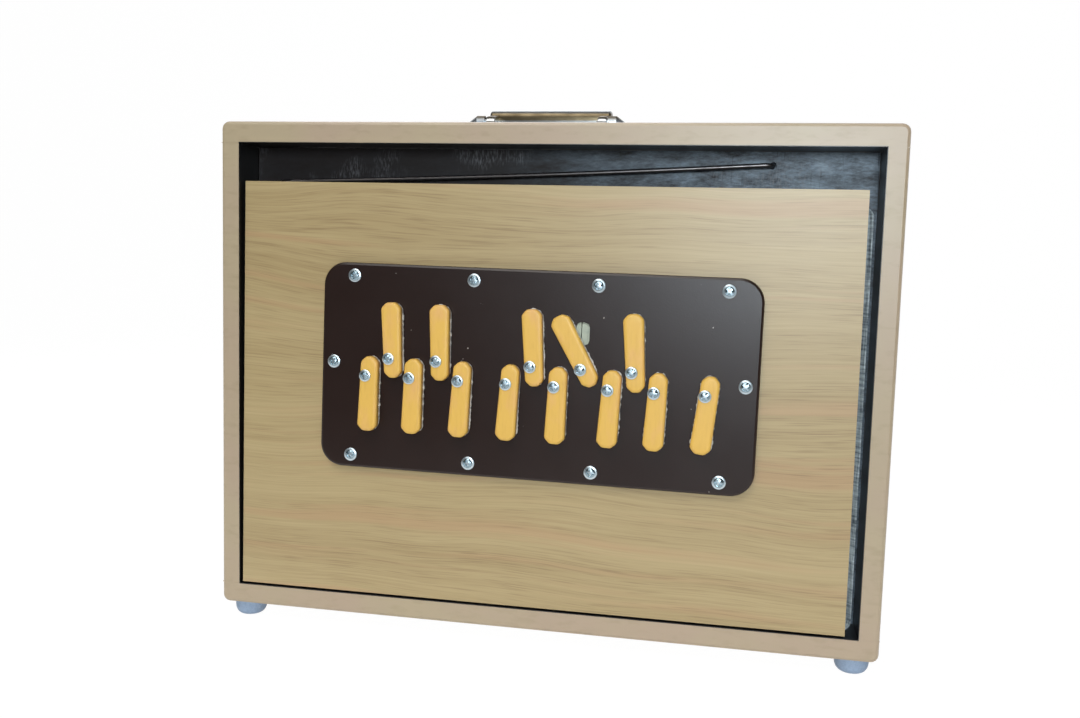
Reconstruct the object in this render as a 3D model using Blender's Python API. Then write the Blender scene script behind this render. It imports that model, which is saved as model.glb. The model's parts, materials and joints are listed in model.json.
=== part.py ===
"""A shruti box: a hand-pumped drone organ in a plank case.

The rear board is the pump. It blows through the centre board's valve into the reservoir, whose
moving wall is the front board. A wire spring draws that board in, and the air leaves through
the reeds behind whichever of the thirteen tabs are swung aside.

Metres. X to the right, Y away from the player, Z up. The origin is on the ground below the
middle of the whole box, tabs included.
"""

import math

import bmesh
import bpy
from mathutils import Matrix
from mathutils import Vector

# Case of four planks: top and bottom run over the ends of the sides
CASE_WIDTH = 0.4064
CASE_HEIGHT = 0.3048
CASE_DEPTH = 0.0889
SIDE_PLANK = 0.0120
TOP_PLANK = 0.0130
CORNER_RADIUS = 0.0046
EDGE_EASE = 0.0020
SEAT = 0.0003  # gap left between two pieces that touch

# Rubber feet
FOOT_HEIGHT = 0.0100
FOOT_RADIUS = 0.0100
FOOT_SOLE_RADIUS = 0.0050
FOOT_INSET = 0.0135

# Centre board, with the port that the transfer valve covers
RECESS_DEPTH = 0.0260
CENTER_THICKNESS = 0.0060
PORT_WIDTH = 0.0700
PORT_HEIGHT = 0.0200
FLAP_MARGIN = 0.0080
FLAP_THICKNESS = 0.0015

# Front board: the gaps that it leaves in the case's opening, and how far its top leans in
FRONT_THICKNESS = 0.0060
FRONT_GAP_LEFT = 0.0022
FRONT_GAP_RIGHT = 0.0076
FRONT_GAP_BOTTOM = 0.0015
FRONT_GAP_TOP = 0.0231
FRONT_LEAN = math.radians(0.9)

# Bellows: a folded ring of cloth behind each moving board
BELLOWS_WALL = 0.0090
RESERVOIR_TOP_DROP = 0.0085
RESERVOIR_SIDE_INSET = 0.0025
RESERVOIR_BULGE_RIGHT = 0.0040

# Pump at the rear
PUMP_THICKNESS = 0.0060
PUMP_GAP_SIDE = 0.0040
PUMP_FOLD_DEPTH = 0.0254
PUMP_RAIL = 0.0120
PUMP_SIDE_INSET = 0.0015

# Tabs: outline, thickness and the hand-fitted rows
TAB_PITCH = 0.02905
TAB_TAIL = 0.0117
TAB_REACH = 0.0338
TAB_TAIL_WIDTH = 0.0108
TAB_END_WIDTH = 0.0122
TAB_CORNER = 0.0032
TAB_BEVEL = 0.0021
TAB_BEVEL_HEIGHT = 0.0018
TAB_THICKNESS = 0.0050
TAB_PIVOT_OFFSET = 0.0020  # the pivot hole lies this far left of the tab's middle line
FELT_THICKNESS = 0.0016
FELT_LIP = 0.0002
ROW_HALF_GAP = 0.0055
ROW_RAISE = 0.0005
HOLE_REACH = 0.0207
HOLE_WIDTH = 0.0084
HOLE_HEIGHT = 0.0136

# Tab plate
PLATE_THICKNESS = 0.0040
PLATE_MARGIN_SIDE = 0.030525
PLATE_MARGIN_END = 0.0236
PLATE_CORNER = 0.0140
PLATE_EDGE = 0.0015
PLATE_DROP = 0.0496
PLATE_OFF_CENTER = -0.0004
PLATE_LEAN = math.radians(-0.6)
PLATE_SCREW_INSET = 0.0077
PLATE_SCREW_HOLE = 0.0013
CUTOUT_MARGIN = 0.0130

# Pivot screws
SCREW_SHANK = 0.0017
SCREW_PLAY = 0.0003
SCREW_WASHER = 0.0037
SCREW_HEAD = 0.0029
SCREW_RIM = 0.0007
SCREW_DOME = 0.0016
SCREW_TAIL = 0.0030

# Reeds
REED_START = 0.0062
REED_LENGTH = 0.0360
REED_LENGTH_STEP = 0.0009
REED_WIDTH = 0.0110
REED_THICKNESS = 0.0020
REED_SLOT = 0.0040
REED_BORDER = 0.0035
TONGUE_THICKNESS = 0.0005

# Reservoir spring of bent wire
WIRE_RADIUS = 0.0014
WIRE_HOLE = 0.0022
WIRE_HOLE_DEPTH = 0.0050
WIRE_BEND = 0.0040
WIRE_HOOK = 0.0028
SPRING_HOLE_FROM_RIGHT = 0.0602
SPRING_HOLE_DROP = 0.0086
SPRING_COIL_FROM_LEFT = 0.0240
SPRING_COIL_RADIUS = 0.0050
SPRING_COIL_RISE = 0.0015
SPRING_COIL_PITCH = 0.0032
SPRING_BOW = 0.38
SPRING_END_FROM_RIGHT = 0.0640

# Handle: a bail that folds back over the case's top
HANDLE_OFF_CENTER = -0.0045
HANDLE_BEFORE_MIDDLE = 0.0165
HANDLE_PIVOT_HEIGHT = 0.0038
GRIP_HALF_LENGTH = 0.0380
GRIP_HALF_WIDTH = 0.0065
GRIP_HALF_HEIGHT = 0.00615
GRIP_REST_GAP = 0.0004
HANDLE_LEG = 0.0170
LEG_WIDTH = 0.0060
LEG_INSET = 0.0005
EYE_RADIUS = 0.0033
PIN_RADIUS = 0.0017
PIN_LENGTH = 0.0040
BRACKET_GAP = 0.0006
BRACKET_LENGTH = 0.0110
BRACKET_DEPTH = 0.0220
BRACKET_SHEET = 0.0012
HOOD_FLAT = 0.0048
HOOD_END_RADIUS = 0.0011

# Facets on round shapes
BORE_SIDES = 12
ROUND_SIDES = 16
CORNER_SIDES = 4
PLATE_CORNER_SIDES = 10

# Where things lie
CASE_BASE = FOOT_HEIGHT
CASE_TOP = CASE_BASE + CASE_HEIGHT
INNER_HALF = CASE_WIDTH / 2 - SIDE_PLANK
INNER_BASE = CASE_BASE + TOP_PLANK
INNER_TOP = CASE_TOP - TOP_PLANK

FRONT_LEFT = -INNER_HALF + FRONT_GAP_LEFT
FRONT_RIGHT = INNER_HALF - FRONT_GAP_RIGHT
FRONT_BASE = INNER_BASE + FRONT_GAP_BOTTOM
FRONT_TOP = INNER_TOP - FRONT_GAP_TOP
FRONT_HEIGHT = (FRONT_TOP - FRONT_BASE) / math.cos(FRONT_LEAN)
FRONT_MIDDLE = (FRONT_LEFT + FRONT_RIGHT) / 2

ROW_STEPS = 3.5  # from the plate's middle to the last hole of the lower row
PLATE_WIDTH = 2 * (ROW_STEPS * TAB_PITCH + PLATE_MARGIN_SIDE)
PLATE_HEIGHT = 2 * (ROW_HALF_GAP + TAB_REACH + PLATE_MARGIN_END)
PLATE_UP = FRONT_HEIGHT - PLATE_DROP - PLATE_HEIGHT / 2
PLATE_FACE = SEAT + PLATE_THICKNESS
TAB_BACK = PLATE_FACE + SEAT
TAB_FACE = TAB_BACK + FELT_THICKNESS + TAB_THICKNESS
SCREW_SEAT = TAB_FACE + SEAT
SCREW_TOP = SCREW_SEAT + SCREW_RIM + SCREW_DOME
TAB_BORE = SCREW_SHANK + SCREW_PLAY

LOWER_ROW_UP = PLATE_UP + ROW_RAISE - ROW_HALF_GAP
PROUD = SCREW_TOP * math.cos(FRONT_LEAN) - LOWER_ROW_UP * math.sin(FRONT_LEAN)
CASE_FRONT = -(CASE_DEPTH - PROUD) / 2
CASE_BACK = CASE_FRONT + CASE_DEPTH
CENTER_FRONT = CASE_FRONT + RECESS_DEPTH
CENTER_BACK = CENTER_FRONT + CENTER_THICKNESS
PUMP_FACE = CASE_BACK - PUMP_THICKNESS
RAIL_FRONT = CENTER_BACK + SEAT
RAIL_BACK = PUMP_FACE - PUMP_FOLD_DEPTH

PORT_HEIGHT_UP = (INNER_BASE + FRONT_TOP) / 2

# Each tab: name, row (1 upper, -1 lower), steps from the middle, shift from the step,
# lean when shut and swing at rest, both anticlockwise as the player sees them
TABS = (
    ("c", -1, -3.5, 0.0001, -1.2, 0.0),
    ("c_sharp", 1, -3.0, 0.0000, 3.3, 0.0),
    ("d", -1, -2.5, -0.0013, -0.8, 0.0),
    ("d_sharp", 1, -2.0, 0.0005, 2.1, 0.0),
    ("e", -1, -1.5, -0.0002, -2.6, 0.0),
    ("f", -1, -0.5, 0.0000, -2.8, 0.0),
    ("f_sharp", 1, 0.0, -0.0003, 4.4, 0.0),
    ("g", -1, 0.5, -0.0002, -1.2, 0.0),
    ("g_sharp", 1, 1.0, 0.0005, 3.4, 26.0),
    ("a", -1, 1.5, 0.0024, -2.6, 0.0),
    ("a_sharp", 1, 2.0, 0.0013, 4.5, 0.0),
    ("b", -1, 2.5, 0.0001, -2.3, 0.0),
    ("high_c", -1, 3.5, 0.0002, -6.1, 0.0),
)

LOOKS = {
    "beige_lacquer": ((0.62, 0.50, 0.38), 0.35, 0.0),
    "dark_paint": ((0.045, 0.045, 0.055), 0.45, 0.0),
    "oak_laminate": ((0.70, 0.59, 0.42), 0.40, 0.0),
    "brown_satin": ((0.055, 0.028, 0.020), 0.42, 0.0),
    "yellow_plastic": ((0.90, 0.58, 0.16), 0.40, 0.0),
    "zinc_screw": ((0.72, 0.74, 0.76), 0.25, 1.0),
    "brass": ((0.66, 0.58, 0.38), 0.35, 1.0),
    "spring_steel": ((0.16, 0.15, 0.15), 0.35, 1.0),
    "bellows_cloth": ((0.09, 0.09, 0.10), 0.90, 0.0),
    "leather": ((0.45, 0.30, 0.19), 0.75, 0.0),
    "plain_wood": ((0.58, 0.45, 0.30), 0.60, 0.0),
    "chrome": ((0.80, 0.80, 0.80), 0.10, 1.0),
    "foot_rubber": ((0.42, 0.52, 0.66), 0.55, 0.0),
}


def clear_scene():
    for obj in list(bpy.data.objects):
        bpy.data.objects.remove(obj, do_unlink=True)


def look(name):
    """The material of this name, made once."""
    found = bpy.data.materials.get(name)
    if found:
        return found
    colour, roughness, metallic = LOOKS[name]
    made = bpy.data.materials.new(name)
    made.use_nodes = True
    shader = made.node_tree.nodes["Principled BSDF"]
    shader.inputs["Base Color"].default_value = (*colour, 1.0)
    shader.inputs["Roughness"].default_value = roughness
    shader.inputs["Metallic"].default_value = metallic
    return made


def mesh_from(bm, name):
    """Close the bmesh into a mesh whose faces point outwards."""
    bmesh.ops.remove_doubles(bm, verts=bm.verts, dist=1e-7)
    bmesh.ops.recalc_face_normals(bm, faces=bm.faces)
    mesh = bpy.data.meshes.new(name)
    bm.to_mesh(mesh)
    bm.free()
    return mesh


def place(name, mesh, look_name, parent=None, location=(0, 0, 0), turn=None, smooth=False):
    obj = bpy.data.objects.new(name, mesh)
    bpy.context.scene.collection.objects.link(obj)
    if not mesh.materials:
        mesh.materials.append(look(look_name))
    if smooth:
        mesh.shade_smooth()
        mesh.set_sharp_from_angle(angle=math.radians(35))
    obj.parent = parent
    obj.location = location
    if turn:
        obj.rotation_euler = turn
    return obj


def empty(name, parent=None, location=(0, 0, 0), turn=(0, 0, 0)):
    obj = bpy.data.objects.new(name, None)
    bpy.context.scene.collection.objects.link(obj)
    obj.parent = parent
    obj.location = location
    obj.rotation_euler = turn
    return obj


def carved(mesh, cutters, operation="DIFFERENCE"):
    """The mesh with each cutter mesh taken from it, or joined to it."""
    target = place("carving", mesh, "plain_wood")
    helpers = []
    for cutter in cutters:
        helper = place("cutter", cutter, "plain_wood")
        helpers.append(helper)
        step = target.modifiers.new("carve", "BOOLEAN")
        step.operation = operation
        step.object = helper
    bpy.context.view_layer.update()
    graph = bpy.context.evaluated_depsgraph_get()
    result = bpy.data.meshes.new_from_object(target.evaluated_get(graph))
    for helper in helpers + [target]:
        bpy.data.objects.remove(helper, do_unlink=True)
    result.materials.clear()
    return result


def loft(loops, name, cap=True):
    """A solid skin through closed loops that have the same number of points."""
    bm = bmesh.new()
    rings = [[bm.verts.new(point) for point in loop] for loop in loops]
    count = len(rings[0])
    for lower, upper in zip(rings, rings[1:]):
        for i in range(count):
            j = (i + 1) % count
            bm.faces.new((lower[i], lower[j], upper[j], upper[i]))
    if cap:
        bm.faces.new(rings[0])
        bm.faces.new(rings[-1])
    return mesh_from(bm, name)


def box(low, high, name):
    (x0, y0, z0), (x1, y1, z1) = low, high
    corners = ((x0, z0), (x1, z0), (x1, z1), (x0, z1))
    return loft([[(x, y, z) for x, z in corners] for y in (y0, y1)], name)


def prism(outline, y0, y1, name):
    """An outline of (x, z) points carried from y0 to y1."""
    return loft([[(x, y, z) for x, z in outline] for y in (y0, y1)], name)


def arc(center, radius, start, end, sides):
    """Points on an arc, both ends included, angles in degrees."""
    angles = [math.radians(start + (end - start) * i / sides) for i in range(sides + 1)]
    return [(center[0] + radius * math.cos(a), center[1] + radius * math.sin(a)) for a in angles]


def circle(center, radius, sides=BORE_SIDES):
    """A polygon whose flats touch the circle, so that a pin of that radius passes."""
    reach = radius / math.cos(math.pi / sides)
    return arc(center, reach, 0, 360 * (sides - 1) / sides, sides - 1)


def rounded_rectangle(half_width, half_height, radius, sides=CORNER_SIDES, middle=(0, 0)):
    points = []
    for sx, sz, start in ((1, 1, 0), (-1, 1, 90), (-1, -1, 180), (1, -1, 270)):
        center = (
            middle[0] + sx * (half_width - radius),
            middle[1] + sz * (half_height - radius),
        )
        points += arc(center, radius, start, start + 90, sides)
    return points


def turned(profile, name, sides=ROUND_SIDES, axis="Y"):
    """A solid of revolution from (radius, distance along the axis) points, poles at both ends."""
    bm = bmesh.new()
    rings = []
    for radius, along in profile:
        if radius == 0:
            rings.append([bm.verts.new(lay(0, 0, along, axis))])
            continue
        angles = [2 * math.pi * i / sides for i in range(sides)]
        rings.append(
            [bm.verts.new(lay(radius * math.cos(a), radius * math.sin(a), along, axis)) for a in angles]
        )
    for lower, upper in zip(rings, rings[1:]):
        for i in range(sides):
            j = (i + 1) % sides
            corners = [lower[i % len(lower)], lower[j % len(lower)], upper[j % len(upper)]]
            corners.append(upper[i % len(upper)])
            bm.faces.new(list(dict.fromkeys(corners)))
    return mesh_from(bm, name)


def lay(across, up, along, axis):
    """A point on a section that is carried along X, Y or Z."""
    if axis == "X":
        return (along, across, up)
    if axis == "Y":
        return (across, along, up)
    return (across, up, along)


def ring(outer, inner, front, back, name):
    """A rectangular frame. outer and inner are (left, right, bottom, top); front and back give y for z."""
    def corners(sides, face):
        left, right, bottom, top = sides
        return [(x, face(z), z) for x, z in ((left, bottom), (right, bottom), (right, top), (left, top))]

    bm = bmesh.new()
    loops = [
        [bm.verts.new(point) for point in corners(outer, front)],
        [bm.verts.new(point) for point in corners(outer, back)],
        [bm.verts.new(point) for point in corners(inner, back)],
        [bm.verts.new(point) for point in corners(inner, front)],
    ]
    for a, b in zip(loops, loops[1:] + loops[:1]):
        for i in range(4):
            j = (i + 1) % 4
            bm.faces.new((a[i], a[j], b[j], b[i]))
    return mesh_from(bm, name)


def ease_edges(mesh, chosen, width, segments=2):
    """Round the mesh's edges for which chosen(start, end) holds."""
    bm = bmesh.new()
    bm.from_mesh(mesh)
    edges = [edge for edge in bm.edges if chosen(edge.verts[0].co, edge.verts[1].co)]
    bmesh.ops.bevel(
        bm, geom=edges, offset=width, segments=segments, profile=0.5, affect="EDGES", clamp_overlap=True
    )
    eased = mesh_from(bm, mesh.name)
    bpy.data.meshes.remove(mesh)
    return eased


def near(a, b):
    return abs(a - b) < 1e-6


def make_end_plank(name, outer, inner):
    """The top or bottom plank: its two outer corners are round, and its outer edges are eased."""
    side = 1 if outer > inner else -1
    half = CASE_WIDTH / 2
    across = half - CORNER_RADIUS
    up = outer - side * CORNER_RADIUS
    left = arc((-across, up), CORNER_RADIUS, 180, 180 - side * 90, CORNER_SIDES)
    right = arc((across, up), CORNER_RADIUS, side * 90, 0, CORNER_SIDES)
    outline = [(-half, inner)] + left + right + [(half, inner)]
    mesh = prism(outline, CASE_FRONT, CASE_BACK, name)

    def on_outer_rim(a, b):
        on_face = near(a.y, b.y)
        on_joint = near(a.z, inner) and near(b.z, inner)
        return on_face and not on_joint

    mesh = ease_edges(mesh, on_outer_rim, EDGE_EASE)
    return place(name, mesh, "beige_lacquer", smooth=True)


def make_side_plank(name, side):
    outer = side * CASE_WIDTH / 2
    inner = side * INNER_HALF
    low = (min(outer, inner), CASE_FRONT, INNER_BASE + SEAT)
    high = (max(outer, inner), CASE_BACK, INNER_TOP - SEAT)
    mesh = box(low, high, name)

    def on_outer_upright(a, b):
        return near(a.x, outer) and near(b.x, outer) and not near(a.z, b.z)

    mesh = ease_edges(mesh, on_outer_upright, EDGE_EASE)
    return place(name, mesh, "beige_lacquer", smooth=True)


def make_feet():
    waist = FOOT_SOLE_RADIUS + 0.55 * (FOOT_RADIUS - FOOT_SOLE_RADIUS)
    profile = (
        (0, 0),
        (FOOT_SOLE_RADIUS, 0),
        (waist, 0.2 * FOOT_HEIGHT),
        (FOOT_RADIUS - 0.0005, 0.6 * FOOT_HEIGHT),
        (FOOT_RADIUS, FOOT_HEIGHT - SEAT),
        (0, FOOT_HEIGHT - SEAT),
    )
    mesh = turned(profile, "foot", axis="Z")
    across = CASE_WIDTH / 2 - FOOT_INSET
    for end, y in (("front", CASE_FRONT + FOOT_INSET), ("rear", CASE_BACK - FOOT_INSET)):
        for side, x in (("left", -across), ("right", across)):
            place(f"foot_{end}_{side}", mesh, "foot_rubber", location=(x, y, 0), smooth=True)


def port_outline(up):
    return rounded_rectangle(PORT_WIDTH / 2, PORT_HEIGHT / 2, PORT_HEIGHT / 2 - 1e-5, middle=(0, up))


def make_center_board():
    low = (-INNER_HALF + SEAT, CENTER_FRONT, INNER_BASE + SEAT)
    high = (INNER_HALF - SEAT, CENTER_BACK, INNER_TOP - SEAT)
    through = (CENTER_FRONT - CENTER_THICKNESS, CENTER_BACK + CENTER_THICKNESS)
    port = prism(port_outline(PORT_HEIGHT_UP), *through, "port")
    blind = (CENTER_FRONT - CENTER_THICKNESS, CENTER_FRONT + WIRE_HOLE_DEPTH)
    hole = prism(circle(spring_hole(), WIRE_HOLE), *blind, "spring_hole")
    mesh = carved(box(low, high, "center_board"), [port, hole])
    place("center_board", mesh, "dark_paint")


def make_flap(name, hinge_y, direction, parent=None, up=0.0):
    """A leather flap over a port, glued along its top edge, which is its hinge."""
    half = PORT_WIDTH / 2 + FLAP_MARGIN
    drop = PORT_HEIGHT + 2 * FLAP_MARGIN
    near_face = direction * SEAT
    far_face = direction * (SEAT + FLAP_THICKNESS)
    mesh = box((-half, min(near_face, far_face), -drop), (half, max(near_face, far_face), 0), name)
    place(name, mesh, "leather", parent=parent, location=(0, hinge_y, up))


def spring_hole():
    """Where the spring's end enters the centre board, as (x, z)."""
    return (INNER_HALF - SPRING_HOLE_FROM_RIGHT, INNER_TOP - SPRING_HOLE_DROP)


def spring_levels():
    """The spring's rear arm depth, coil middle depth, front arm depth, and its two heights at the coil."""
    rear = CENTER_FRONT + SEAT - WIRE_BEND
    middle = rear - SPRING_COIL_RADIUS
    front = middle - SPRING_COIL_RADIUS
    high = FRONT_TOP + SPRING_COIL_RISE
    low = high - 1.5 * SPRING_COIL_PITCH
    return rear, middle, front, high, low


def spring_path():
    """The wire's middle line: hook, rear arm, coil of a turn and a half, front arm, hook."""
    hole_x, hole_z = spring_hole()
    coil_x = FRONT_LEFT + SPRING_COIL_FROM_LEFT
    end_x = FRONT_RIGHT - SPRING_END_FROM_RIGHT
    rear, middle, front, high, low = spring_levels()
    points = [Vector((hole_x, CENTER_FRONT + 0.7 * CENTER_THICKNESS, hole_z))]
    for x, y in arc((hole_x - WIRE_BEND, rear + WIRE_BEND), WIRE_BEND, 0, -90, 5):
        points.append(Vector((x, y, hole_z)))
    steps = 10
    for i in range(steps - 1, 0, -1):
        share = i / steps
        rise = (1 - SPRING_BOW) * share + SPRING_BOW * share ** 2
        x = coil_x + (hole_x - WIRE_BEND - coil_x) * share
        points.append(Vector((x, rear, high + (hole_z - high) * rise)))
    sides = 21
    for i in range(sides + 1):
        angle = math.pi / 2 + 3 * math.pi * i / sides
        x = coil_x + SPRING_COIL_RADIUS * math.cos(angle)
        y = middle + SPRING_COIL_RADIUS * math.sin(angle)
        points.append(Vector((x, y, high + (low - high) * i / sides)))
    for i in range(1, 6):
        points.append(Vector((coil_x + (end_x - coil_x) * i / 6, front, low)))
    for x, y in arc((end_x, front - WIRE_HOOK), WIRE_HOOK, 90, 0, 5):
        points.append(Vector((x, y, low)))
    points.append(points[-1] - Vector((0, 0.4 * FRONT_THICKNESS, 0)))
    return points


def make_spring():
    points = spring_path()
    curve = bpy.data.curves.new("reservoir_spring", "CURVE")
    curve.dimensions = "3D"
    curve.bevel_depth = WIRE_RADIUS
    curve.bevel_resolution = 2
    curve.use_fill_caps = True
    spline = curve.splines.new("POLY")
    spline.points.add(len(points) - 1)
    for point, place_at in zip(spline.points, points):
        point.co = (*place_at, 1)
    curve.materials.append(look("spring_steel"))
    obj = bpy.data.objects.new("reservoir_spring", curve)
    bpy.context.scene.collection.objects.link(obj)


def make_front_board(front_hinge, plate_frame):
    left = FRONT_LEFT - FRONT_MIDDLE
    right = FRONT_RIGHT - FRONT_MIDDLE
    mesh = box((left, 0, 0), (right, FRONT_THICKNESS, FRONT_HEIGHT), "front_board")
    through = (-FRONT_THICKNESS, 2 * FRONT_THICKNESS)
    half_width, half_height = cutout_size()
    window = rounded_rectangle(half_width, half_height, PLATE_CORNER / 3)
    to_board = plate_frame.matrix_basis
    cutters = [prism(window, *through, "window")]
    cutters += [prism(circle(p, PLATE_SCREW_HOLE), *through, "pilot") for p in plate_screw_places()]
    for cutter in cutters:
        cutter.transform(to_board)
    rear, middle, front, high, low = spring_levels()
    end_x = FRONT_RIGHT - SPRING_END_FROM_RIGHT + WIRE_HOOK - FRONT_MIDDLE
    hook_up = (low - FRONT_BASE) / math.cos(FRONT_LEAN)
    depths = (0.3 * FRONT_THICKNESS, 2 * FRONT_THICKNESS)
    hook = prism(circle((end_x, hook_up), WIRE_HOLE), *depths, "hook_hole")
    mesh = carved(mesh, cutters + [hook])
    place("front_board", mesh, "oak_laminate", parent=front_hinge)


def cutout_size():
    """Half width and half height of the window behind the tab plate."""
    return PLATE_WIDTH / 2 - CUTOUT_MARGIN, PLATE_HEIGHT / 2 - CUTOUT_MARGIN


def plate_screw_places():
    """The ten screws round the plate's edge: four above, four below and one at each side."""
    half_width = PLATE_WIDTH / 2 - PLATE_SCREW_INSET
    half_height = PLATE_HEIGHT / 2 - PLATE_SCREW_INSET
    corner = half_width - PLATE_CORNER + 0.0015
    places = []
    for up in (half_height, -half_height):
        places += [(corner * share, up) for share in (-1, -1 / 3, 1 / 3, 1)]
    return places + [(-half_width, ROW_RAISE), (half_width, ROW_RAISE)]


def tab_pivot(tab):
    """The tab's pivot in the plate's own (x, z)."""
    name, row, steps, shift, lean, swing = tab
    return steps * TAB_PITCH + shift, ROW_RAISE + row * ROW_HALF_GAP


def hole_outline(tab):
    """An eight-sided sound hole under the tab's far end."""
    x, up = tab_pivot(tab)
    middle = (x - 0.0005, up + tab[1] * HOLE_REACH)
    return rounded_rectangle(HOLE_WIDTH / 2, HOLE_HEIGHT / 2, HOLE_WIDTH * 0.36, sides=2, middle=middle)


def make_tab_plate(plate_frame):
    loops = []
    bevel = 0.3 * PLATE_EDGE
    steps = ((0, -SEAT), (0, PLATE_EDGE - PLATE_FACE), (bevel, bevel - PLATE_FACE), (PLATE_EDGE, -PLATE_FACE))
    for inset, y in steps:
        half = (PLATE_WIDTH / 2 - inset, PLATE_HEIGHT / 2 - inset)
        outline = rounded_rectangle(*half, PLATE_CORNER - inset, sides=PLATE_CORNER_SIDES)
        loops.append([(x, y, z) for x, z in outline])
    through = (-PLATE_FACE - PLATE_THICKNESS, PLATE_THICKNESS)
    cutters = [prism(hole_outline(tab), *through, "hole") for tab in TABS]
    cutters += [prism(circle(tab_pivot(tab), TAB_BORE), *through, "bore") for tab in TABS]
    cutters += [prism(circle(p, PLATE_SCREW_HOLE), *through, "screw_hole") for p in plate_screw_places()]
    mesh = carved(loft(loops, "tab_plate"), cutters)
    place("tab_plate", mesh, "brown_satin", parent=plate_frame)


def tab_outline(row, grow):
    """The tab's eight-sided outline in (x, z) from its pivot, grown or shrunk all round."""
    tail = TAB_TAIL_WIDTH / 2 + grow
    end = TAB_END_WIDTH / 2 + grow
    low = -TAB_TAIL - grow
    high = TAB_REACH + grow
    cut = TAB_CORNER
    half = [(tail - cut, low), (tail, low + cut), (end, high - cut), (end - cut, high)]
    points = half + [(-x, z) for x, z in reversed(half)]
    return [(x + TAB_PIVOT_OFFSET, row * z) for x, z in points]


def tab_mesh(row):
    """Felt pad and lever as one solid, its face bevelled all round, bored for the pivot screw."""
    levels = (
        (-FELT_LIP, -TAB_BACK),
        (-FELT_LIP, -TAB_BACK - FELT_THICKNESS),
        (0, -TAB_BACK - FELT_THICKNESS - FELT_LIP),
        (0, TAB_BEVEL_HEIGHT - TAB_FACE),
        (-TAB_BEVEL, -TAB_FACE),
    )
    loops = [[(x, y, z) for x, z in tab_outline(row, grow)] for grow, y in levels]
    bore = prism(circle((0, 0), TAB_BORE), -TAB_FACE - TAB_THICKNESS, 0, "tab_bore")
    return carved(loft(loops, "tab"), [bore])


def screw_mesh():
    profile = (
        (0, SCREW_TAIL),
        (SCREW_SHANK, SCREW_TAIL),
        (SCREW_SHANK, -SCREW_SEAT),
        (SCREW_WASHER, -SCREW_SEAT),
        (SCREW_WASHER, -SCREW_SEAT - SCREW_RIM),
        (SCREW_HEAD, -SCREW_SEAT - SCREW_RIM),
        (0.6 * SCREW_HEAD, -SCREW_TOP + 0.2 * SCREW_DOME),
        (0, -SCREW_TOP),
    )
    return turned(profile, "pivot_screw", sides=BORE_SIDES)


def reed_mesh(row, semitone):
    """A slotted reed plate with its tongue, in (x, z) from the tab's pivot. High notes are shorter."""
    length = REED_LENGTH - REED_LENGTH_STEP * semitone
    half = REED_WIDTH / 2
    slot = REED_SLOT / 2
    start, end = REED_START, REED_START + length
    plate_y = (0, REED_THICKNESS)
    tongue_y = (REED_THICKNESS - TONGUE_THICKNESS, REED_THICKNESS + TONGUE_THICKNESS)
    slot_ends = (start + 2 * REED_BORDER, end - REED_BORDER)
    plate = box((-half, plate_y[0], start), (half, plate_y[1], end), "reed")
    window = box((-slot, -REED_THICKNESS, slot_ends[0]), (slot, 3 * REED_THICKNESS, slot_ends[1]), "slot")
    tongue_half = slot - SEAT
    tongue_low = (-tongue_half, tongue_y[0], start + REED_BORDER / 2)
    tongue_high = (tongue_half, tongue_y[1], slot_ends[1] - SEAT)
    tongue = box(tongue_low, tongue_high, "tongue")
    mesh = carved(carved(plate, [window]), [tongue], "UNION")
    mesh.transform(Matrix.Diagonal((1, 1, row, 1)))
    if row < 0:
        mesh.flip_normals()
    return mesh


def make_tabs(plate_frame):
    lever = {row: tab_mesh(row) for row in (1, -1)}
    screw = screw_mesh()
    for semitone, tab in enumerate(TABS):
        name, row, steps, shift, lean, swing = tab
        x, up = tab_pivot(tab)
        pivot = empty(f"pivot_{name}", parent=plate_frame, location=(x, 0, up))
        turn = (0, -math.radians(lean + swing), 0)
        place(f"tab_{name}", lever[row], "yellow_plastic", parent=pivot, turn=turn)
        place(f"tab_screw_{name}", screw, "zinc_screw", parent=pivot, smooth=True)
        place(f"reed_{name}", reed_mesh(row, semitone), "brass", parent=pivot)


def make_reservoir_bellows():
    left = FRONT_LEFT + RESERVOIR_SIDE_INSET
    right = FRONT_RIGHT + RESERVOIR_BULGE_RIGHT
    bottom = FRONT_BASE + SEAT
    top = FRONT_TOP - RESERVOIR_TOP_DROP
    wall = BELLOWS_WALL

    def behind_board(z):
        back_face = CASE_FRONT + FRONT_THICKNESS / math.cos(FRONT_LEAN)
        return back_face + (z - FRONT_BASE) * math.tan(FRONT_LEAN) + SEAT

    def before_center(z):
        return CENTER_FRONT - SEAT

    mesh = ring(
        (left, right, bottom, top),
        (left + wall, right - wall, bottom + wall, top - wall),
        behind_board,
        before_center,
        "reservoir_bellows",
    )
    place("reservoir_bellows", mesh, "bellows_cloth")


def pump_sides():
    """Left, right, bottom and top of the pump board."""
    half = INNER_HALF - PUMP_GAP_SIDE
    return -half, half, FRONT_BASE, FRONT_TOP


def inset_sides(sides, by):
    left, right, bottom, top = sides
    return left + by, right - by, bottom + by, top - by


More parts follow.
